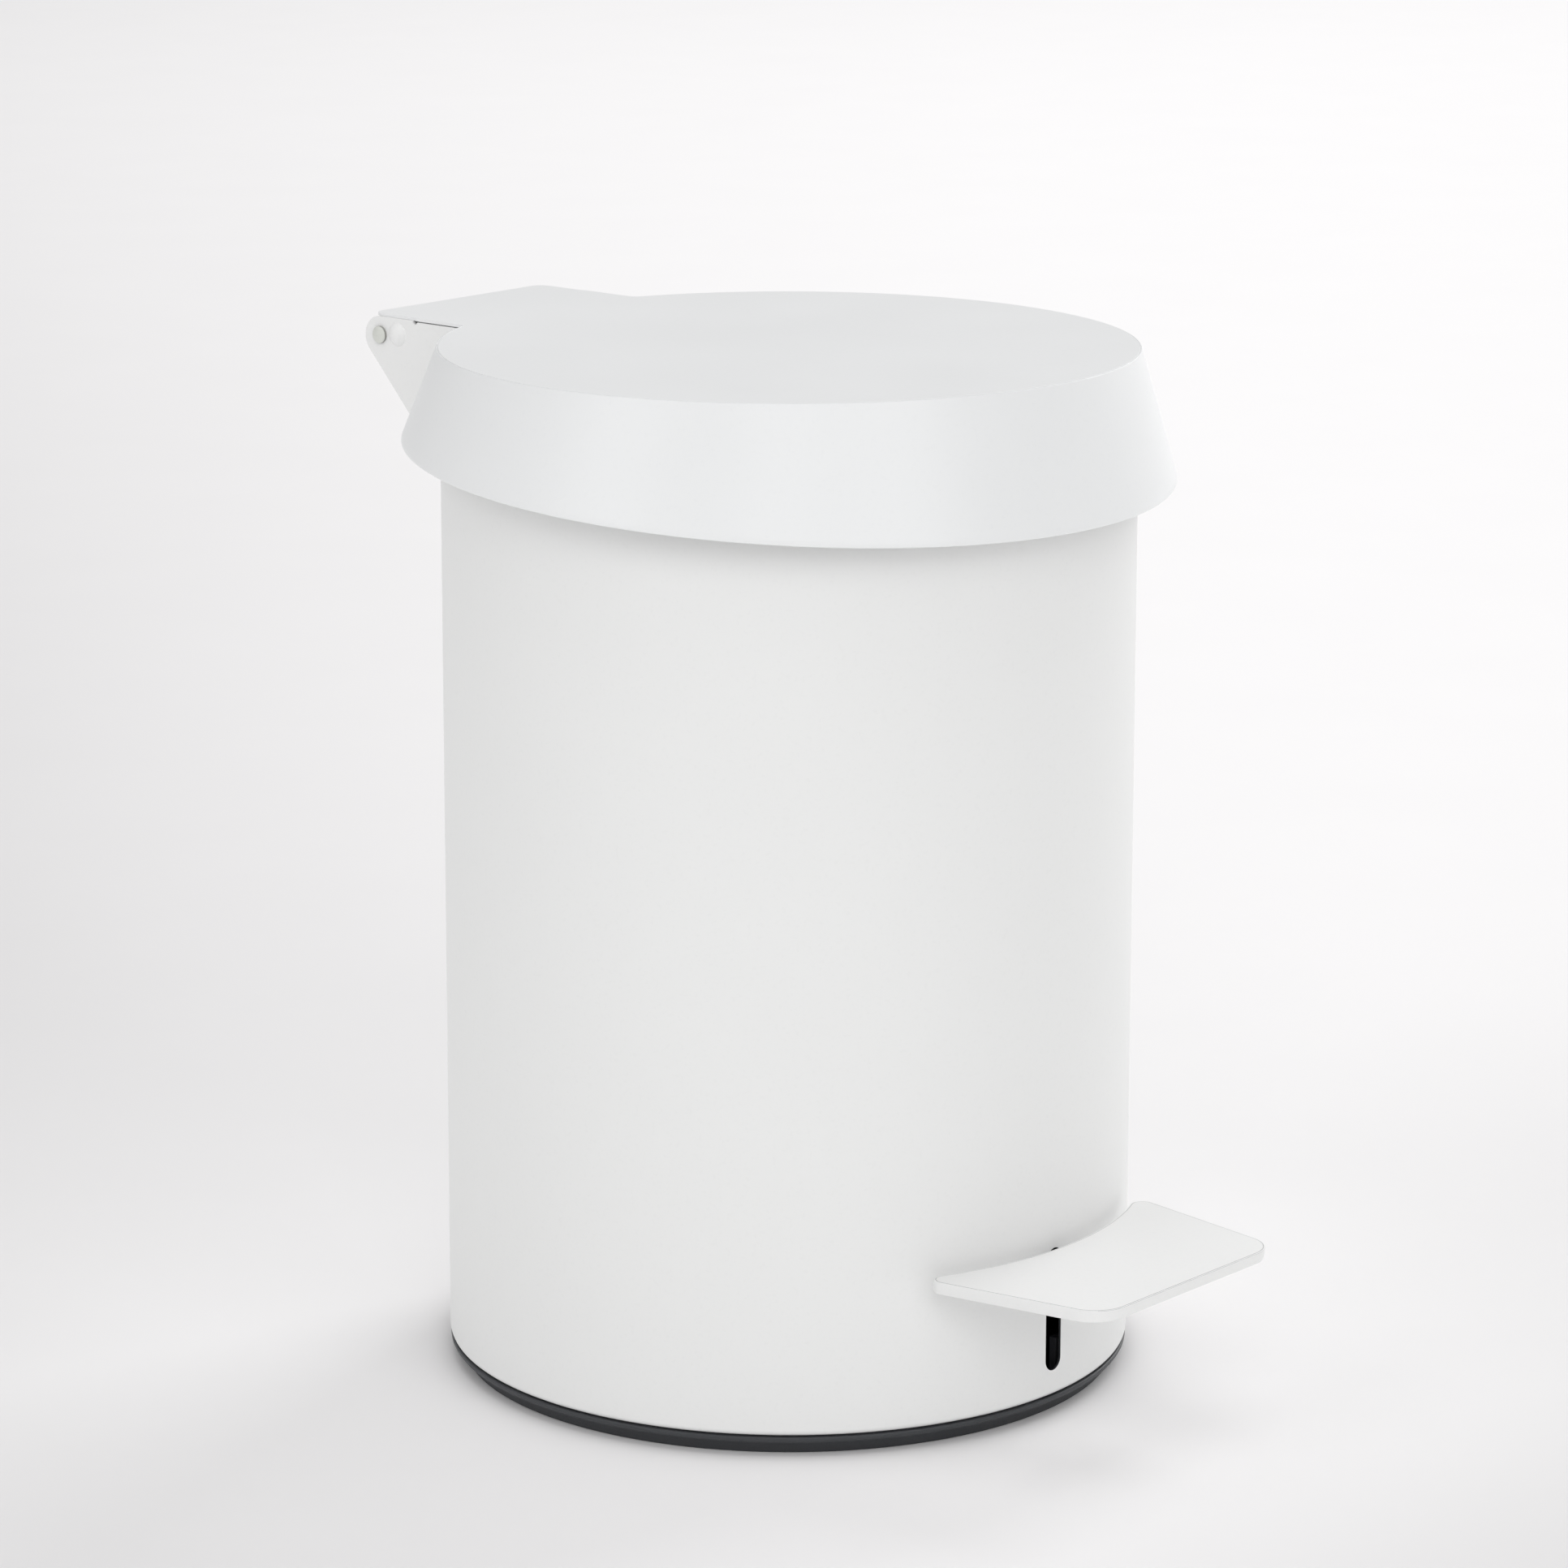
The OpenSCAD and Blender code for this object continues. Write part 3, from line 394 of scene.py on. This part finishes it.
def soften(mesh, limit=32):
    """Smooth shading, with the edges sharper than the limit, in degrees, kept crisp."""
    bm = bmesh.new()
    bm.from_mesh(mesh)
    bmesh.ops.recalc_face_normals(bm, faces=bm.faces)
    for f in bm.faces:
        f.smooth = True
    for e in bm.edges:
        e.smooth = e.calc_face_angle(0) < math.radians(limit)
    bm.to_mesh(mesh)
    bm.free()


def solid(name, bm, *mats):
    bmesh.ops.recalc_face_normals(bm, faces=bm.faces)
    mesh = bpy.data.meshes.new(name)
    bm.to_mesh(mesh)
    bm.free()
    mesh.transform(Matrix.Scale(MM, 4))
    for m in mats:
        mesh.materials.append(m)
    obj = bpy.data.objects.new(name, mesh)
    scene.collection.objects.link(obj)
    return obj


def cut_away(obj, bm):
    """Takes the closed shapes in bm out of the piece."""
    cutter = solid("cutter", bm, *obj.data.materials)
    change = obj.modifiers.new("cut", "BOOLEAN")
    change.object = cutter
    change.solver = "EXACT"
    bpy.context.view_layer.update()
    view = bpy.context.evaluated_depsgraph_get()
    done = bpy.data.meshes.new_from_object(obj.evaluated_get(view))
    obj.modifiers.clear()
    obj.data = done
    bpy.data.objects.remove(cutter)


def finish(obj, body, slot, *nodes):
    """Smooths a piece and puts it on its body, in place of the named CAD nodes."""
    soften(obj.data)
    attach(obj, body)
    if nodes:
        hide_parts(*nodes)


# ---- Body ----
def body_cuts():
    """The slot for the pedal's lever in front and the notch for the lid's crank behind."""
    bm = bmesh.new()
    r = SLOT_W / 2
    slot = arc(0, SLOT_HIGH - r, r, 0, 180, 25) + arc(0, SLOT_LOW + r, r, 180, 360, 25)
    loft(bm, [[(x, -y, z) for x, z in slot] for y in (BODY_R - 3, BODY_R + 2)])
    low = (-NOTCH_W / 2, BODY_R - 4, NOTCH_LOW)
    high = (NOTCH_W / 2, BODY_R + 2, BODY_TOP + 2)
    box_shape(bm, low, high)
    return bm


def body():
    curl = (BODY_R - CURL_R, CURL_LOW + CURL_R)
    hem = (BODY_R - HEM_R, BODY_TOP - HEM_R)
    levels = [12, 60, 120, 180, 240, 290, 297]
    outside = arc(*curl, CURL_R, -80, 0, 12) + [(BODY_R, z) for z in levels]
    top = arc(*hem, HEM_R, 0, 290, 24)
    inside = [(BODY_R - WALL, z) for z in levels[::-1]] + arc(*curl, CURL_R - WALL, 0, -75, 8)
    bm = bmesh.new()
    lathe(bm, outside + top + inside)
    obj = solid("body_skin", bm, MATS["white_coat"], MATS["base_plastic"])
    cut_away(obj, body_cuts())
    # The slot's cut edges are painted dark, as painted shade inside the slot, and the same mask also paints
    # the curl's underside below the slot dark
    for f in obj.data.polygons:
        x, y, z = f.center / MM
        turned = abs(Vector((x, y, 0)).normalized().dot(f.normal)) < 0.5
        at_slot = y < 0 and abs(x) < SLOT_W / 2 + 0.1 and z < 60
        f.material_index = 1 if at_slot and turned else 0
    finish(obj, "bin_body", "white_coat", "body_shell")


def base_ring():
    """Moulded foot and lip, drawn just outside the base's own solid."""
    foot = [(FOOT_R - 0.4, 0.02), (FOOT_R - 0.2, 0.02), (FOOT_R + 0.1, 0.3), (FOOT_R + 1.05, 3.8),
            (FOOT_R + 1.3, 4.3)]
    lip = (arc(LIP_R - LIP_ROUND, LIP_LOW + LIP_ROUND, LIP_ROUND, -90, 0, 6)
           + arc(LIP_R - LIP_ROUND, LIP_HIGH - LIP_ROUND, LIP_ROUND, 0, 90, 6))
    back = [(LIP_R - LIP_DEPTH, LIP_HIGH), (LIP_R - LIP_DEPTH, LIP_LOW + 0.2), (FOOT_R - 0.4, 3.4)]
    bm = bmesh.new()
    lathe(bm, foot + lip + back)
    finish(solid("base_ring", bm, MATS["base_plastic"]), "bin_body", "base_plastic")


# ---- Lid ----
def lid_half():
    """Right-hand outline of the lid's top from its front round to the right end of the tongue's rear edge."""
    r = LID_R - SEAM
    narrow = CHEEK_X - TONGUE_STEP
    fillet_x = CHEEK_X + TONGUE_FILLET
    fillet_y = math.sqrt((r + TONGUE_FILLET) ** 2 - fillet_x ** 2)
    meet = math.degrees(math.atan2(fillet_y, fillet_x))
    return (arc(0, LID_SHIFT, r, -90, meet, 240)
            + arc(fillet_x, fillet_y + LID_SHIFT, TONGUE_FILLET, 180 + meet, 180, 10)[1:]
            + [(CHEEK_X, STEP_Y - 0.5), (narrow, STEP_Y + 0.1)]
            + arc(narrow - TONGUE_CORNER, TONGUE_BACK - TONGUE_CORNER, TONGUE_CORNER, 0, 90, 10))


def skirt_section(turn):
    """The skirt's closed section in the direction turn, which is 0 towards the hinge. Its points are given as
    distance from the upper or the lower edge along the skirt, and depth behind its outer face."""
    out = Vector((math.sin(turn), math.cos(turn), 0))
    top = out * LID_R + Vector((0, LID_SHIFT, LID_Z))
    rake = RIM_R * out.y
    rim = Vector((RIM_R * out.x, rake * math.cos(RIM_RAKE), RIM_Z + rake * math.sin(RIM_RAKE)))
    down = rim - top
    drop = down.length
    upper = [(0.26, SKIRT_SHEET), (0.26, 0.34), (0.18, 0.29), (0.13, 0.22), (0.13, 0.05), (0.18, 0),
             (0.4, 0), (0.7, 0), (1.5, 0), (drop / 2, 0)]
    lower = [(2, 0), (0.7, 0), (0.25, 0.12), (0, 0.5), (0, 0.9), (0.3, 1.35), (0.8, RIM_SHEET),
             (3, RIM_SHEET), (3.3, 0.85)]
    edge = upper + [(drop - s, depth) for s, depth in lower] + [(1.5, SKIRT_SHEET)]
    return [tuple(top + down * (s / drop) - out * depth) for s, depth in edge]


def lid():
    bm = bmesh.new()
    half = lid_half()
    outline = half + flip(half)[1:-1]
    under = LID_Z - LID_SHEET
    slab(bm, outline, [(2.5, under), (0.04, under), (0, under + 0.04), (0, LID_Z - 0.12),
                       (0.04, LID_Z - 0.04), (0.12, LID_Z), (0.2, LID_Z), (2.5, LID_Z)])
    # The skirt is open where the tongue passes
    first = math.asin((CHEEK_X + 0.5) / LID_R)
    steps = 480
    turns = [first + (2 * math.pi - 2 * first) * i / steps for i in range(steps + 1)]
    loft(bm, [skirt_section(turn) for turn in turns])
    finish(solid("lid_skin", bm, SATIN_AND_PAINTED_SHEEN), "lid", "white_coat", "lid_shell")


# ---- Hinge bracket ----
def cheek_outline():
    """Side plate as (y, z): round at the hinge, with a slope down to the body and a slit under the tongue
    that ends in a round relief."""
    top = HINGE_Z + CHEEK_R
    slope = math.degrees(CHEEK_SLOPE) - 90
    front = math.sqrt(BODY_R ** 2 - CHEEK_X ** 2) - 0.1
    reach = HINGE_Y + CHEEK_R * math.sin(CHEEK_SLOPE) - front
    low = HINGE_Z - CHEEK_R * math.cos(CHEEK_SLOPE) - reach * math.tan(CHEEK_SLOPE)
    bite = math.degrees(math.asin((SLIT_Z - top) / RELIEF_R))
    return ([(front, low)] + arc(HINGE_Y, HINGE_Z, CHEEK_R, slope, 90, 24)
            + arc(STEP_Y, top, RELIEF_R, 0, -180 - bite, 4) + [(front, SLIT_Z)])


def cheek(name, sign, node):
    """Side plate and its flange, on the right where sign is 1 and on the left where it is -1."""
    bm = bmesh.new()
    outer = CHEEK_X
    inner = CHEEK_X - CHEEK_T
    edge = [(0.35, inner), (0.2, inner), (0.06, inner + 0.06), (0, inner + 0.2),
            (0, outer - 0.06), (0.02, outer - 0.02), (0.06, outer), (0.35, outer)]
    slab(bm, cheek_outline(), edge, place=lambda u, v, w: (sign * w, u, v))
    near = math.asin((inner - FLANGE_W) / BODY_R)
    far = math.asin(inner / BODY_R)
    back = BODY_R + FLANGE_GAP
    face = back + CHEEK_T
    section = [(back, FLANGE_LOW), (face, FLANGE_LOW), (face, FLANGE_HIGH), (back, FLANGE_HIGH)]
    steps = 12
    turns = [near + (far - near) * i / steps for i in range(steps + 1)]
    loft(bm, [[(sign * r * math.sin(a), r * math.cos(a), z) for r, z in section] for a in turns])
    finish(solid(name, bm, MATS["white_coat"]), "bin_body", "white_coat", node)


def pin():
    """Hinge pin with a low domed head at its left end."""

    def circle(x, r, lift):
        """Circle round the pin, lifted and moved half as far towards the pedal."""
        ring = arc(0, 0, r, 0, 360, 64)[:-1]
        return [(x, HINGE_Y - lift / 2 + u, HINGE_Z + lift + v) for u, v in ring]

    ball = (HEAD_R ** 2 + HEAD_BULGE ** 2) / (2 * HEAD_BULGE)
    rim = -CHEEK_X - HEAD_T
    centre = rim - HEAD_BULGE + ball
    dome = [(centre - math.sqrt(ball ** 2 - r ** 2), r) for r in (0.1, 0.6, 1.1, 1.6, 2.1, 2.45)]
    head = dome + [(rim + 0.03, HEAD_R), (-CHEEK_X, HEAD_R)]
    shaft = [(-CHEEK_X + 0.05, PIN_R), (CHEEK_X, PIN_R)]
    bm = bmesh.new()
    loft(bm, [circle(x, r, HEAD_LIFT) for x, r in head] + [circle(x, r, 0) for x, r in shaft])
    obj = solid("hinge_pin_skin", bm, PIN_STEEL, PIN_SIDE_SHADE)
    # The head's side wall is painted darker, as painted shade
    for f in obj.data.polygons:
        f.material_index = 1 if abs(f.normal.x) < 0.3 and f.center.x < -CHEEK_X * MM else 0
    finish(obj, "bin_body", "stainless", "hinge_pin")


# ---- Pedal ----
def tread_half():
    """Right-hand outline of the tread, from the middle of its front to the middle of its rear arc."""
    t = math.tan(TREAD_FLARE)
    flare = math.degrees(TREAD_FLARE)
    tangent = TREAD_CORNER / math.tan(math.pi / 4 + TREAD_FLARE / 2)
    # The tip's centre lies where a line parallel to the flared side meets a circle round the body
    a = TREAD_HALF - TREAD_FRONT * t - TREAD_TIP / math.cos(TREAD_FLARE)
    reach = TREAD_ARC + TREAD_TIP
    tip_y = (-a * t - math.sqrt(a * a * t * t - (1 + t * t) * (a * a - reach * reach))) / (1 + t * t)
    tip_x = a + t * tip_y
    inner = math.degrees(math.atan2(tip_y, tip_x))
    return ([(0, TREAD_FRONT)]
            + arc(TREAD_HALF - tangent, TREAD_FRONT + TREAD_CORNER, TREAD_CORNER, -90, -flare, 16)
            + arc(tip_x, tip_y, TREAD_TIP, -flare, 180 + inner, 16)
            + arc(0, 0, TREAD_ARC, inner, -90, 40)[1:])


def tread():
    top, low = TREAD_TOP, TREAD_LOW

    def lean(u, v, w):
        """Moves the front face's lower edge in."""
        return u, v + TREAD_LEAN * (top - w) * max(0, 1 - (v - TREAD_FRONT) / TREAD_LEAN_REACH), w

    half = tread_half()
    outline = half + flip(half)[1:-1]
    under = arc(TREAD_UNDER, low + TREAD_UNDER, TREAD_UNDER, 270, 180, 4)
    over = arc(TREAD_OVER, top - TREAD_RIM - TREAD_OVER, TREAD_OVER, 180, 90, 4)
    line = [(0.48, top - TREAD_RIM), (0.52, top - TREAD_LINE), (0.6, top - TREAD_LINE), (0.62, top)]
    bm = bmesh.new()
    slab(bm, outline, [(2.5, low), (0.8, low)] + under + over + line + [(2.5, top)], lean)
    obj = solid("tread_skin", bm, MATS["white_coat"], GROOVE_SHADE)
    # The two steep sides of the fine line are painted darker, as painted shade in the groove
    for f in obj.data.polygons:
        depth = top - f.center.z / MM
        steep = abs(f.normal.z) < 0.5 and len(f.vertices) == 4
        f.material_index = 1 if steep and abs(depth - TREAD_LINE / 2) < 0.02 else 0
    finish(obj, "pedal", "white_coat", "pedal_tread")


body()
base_ring()
lid()
cheek("cheek_left_skin", -1, "bracket_cheek_left")
cheek("cheek_right_skin", 1, "bracket_cheek_right")
pin()
tread()


# ---- Surroundings, in metres ----
FLOOR_HALF = 14
FLOOR_Z = -0.0002
PAPER_TONE = 0.886
PAPER_TINT = (1.006, 0.995, 1.0)
PAPER_BOUNCE = (0.96, 0.96, 0.96)
WORLD_LIGHT = 0.508
LAMP_AIM = Vector((0, 0, 0.15))
# Name, place, width and height, and power in watts
LAMPS = (
    ("left", (-5.7, 1.5, 3.3), (3.0, 4.2), 62),
    ("key", (-4.8, -4.2, 4.8), (3.6, 3.6), 97),
    ("front", (-1.5, -6.3, 3.0), (3.6, 3.6), 62),
    ("right", (5.7, 0.3, 3.0), (3.0, 4.2), 173),
    ("top", (0.3, 0.0, 6.6), (4.8, 4.8), 93),
)


def paper():
    """Backdrop whose tone is fixed on the floor and is painted light and shade. Seen from the photograph's
    side it rises into the distance and changes a little from left to right, and a painted pool of light makes
    it paler round the object.
    Light that bounces off it is plain white."""
    sh = Shader("backdrop_paper")
    ahead = Vector((VIEW_AHEAD.x, VIEW_AHEAD.y, 0)).normalized()
    here = sh.add("ShaderNodeVectorMath", operation="SUBTRACT")
    sh.put(here.inputs[0], sh.place)
    sh.put(here.inputs[1], (VIEW_PLACE.x, VIEW_PLACE.y, 0))

    def along(direction):
        dot = sh.add("ShaderNodeVectorMath", operation="DOT_PRODUCT")
        sh.put(dot.inputs[0], here.outputs[0])
        sh.put(dot.inputs[1], direction)
        return dot.outputs["Value"]

    # near is large in the foreground and 0 far off, and right runs from -1.3 at the left to 1.3 at the right
    far = sh.math("MAXIMUM", along(tuple(ahead)), 1.4)
    near = sh.math("DIVIDE", 1.5, far)
    near_square = sh.math("MULTIPLY", near, near)
    right = sh.math("DIVIDE", sh.math("MULTIPLY", along((ahead.y, -ahead.x, 0)), 7), far)
    right = sh.math("MAXIMUM", sh.math("MINIMUM", right, 1.3), -1.3)
    right_square = sh.math("MULTIPLY", right, right)
    # Painted light and shade: darker in the foreground and towards both sides, and leaning from left to right
    lean = sh.math("ADD", sh.math("MULTIPLY", near, 0.95), -0.231)
    lean = sh.math("SUBTRACT", lean, sh.math("MULTIPLY", near_square, 0.741))
    tone = sh.math("SUBTRACT", PAPER_TONE, sh.math("MULTIPLY", near_square, 0.065))
    tone = sh.math("SUBTRACT", tone, sh.math("MULTIPLY", right_square, 0.051))
    tone = sh.math("ADD", tone, sh.math("MULTIPLY", right, lean))

    # A painted pool of light round the object, and faint unevenness
    reach = sh.add("ShaderNodeVectorMath", operation="LENGTH")
    sh.put(reach.inputs[0], sh.place)
    patch = sh.ramp(reach.outputs["Value"], 0.1, 0.27, 1.07, 1.0, interpolation_type="SMOOTHSTEP")
    tone = sh.math("MULTIPLY", tone, patch)
    tone = sh.math("MULTIPLY", tone, sh.vary(sh.noise(90, 4), 0.996, 1.004))

    seen_color = sh.add("ShaderNodeVectorMath", operation="SCALE")
    sh.put(seen_color.inputs[0], PAPER_TINT)
    sh.put(seen_color.inputs["Scale"], tone)
    seen = sh.add("ShaderNodeLightPath").outputs["Is Camera Ray"]
    diffuse = sh.add("ShaderNodeBsdfDiffuse")
    sh.put(diffuse.inputs["Color"], sh.mix(seen, PAPER_BOUNCE, seen_color.outputs[0]))
    sh.put(sh.out.inputs["Surface"], diffuse.outputs[0])
    return sh.material


def floor():
    mesh = bpy.data.meshes.new("floor")
    corners = [(sx * FLOOR_HALF, sy * FLOOR_HALF, FLOOR_Z) for sx, sy in ((-1, -1), (1, -1), (1, 1), (-1, 1))]
    mesh.from_pydata(corners, [], [(0, 1, 2, 3)])
    mesh.materials.append(paper())
    obj = bpy.data.objects.new("floor", mesh)
    scene.collection.objects.link(obj)


def lamp(name, place, size, power):
    data = bpy.data.lights.new(name, "AREA")
    data.shape = "RECTANGLE"
    data.size, data.size_y = size
    data.energy = power
    obj = bpy.data.objects.new(name, data)
    scene.collection.objects.link(obj)
    obj.location = place
    obj.rotation_mode = "QUATERNION"
    obj.rotation_quaternion = (LAMP_AIM - Vector(place)).to_track_quat("-Z", "Y")


def world():
    data = bpy.data.worlds.new("world")
    scene.world = data
    data.use_nodes = True
    background = data.node_tree.nodes["Background"]
    background.inputs["Color"].default_value = (1, 1, 1, 1)
    background.inputs["Strength"].default_value = WORLD_LIGHT


floor()
world()
for values in LAMPS:
    lamp(*values)

scene.view_settings.view_transform = "Standard"
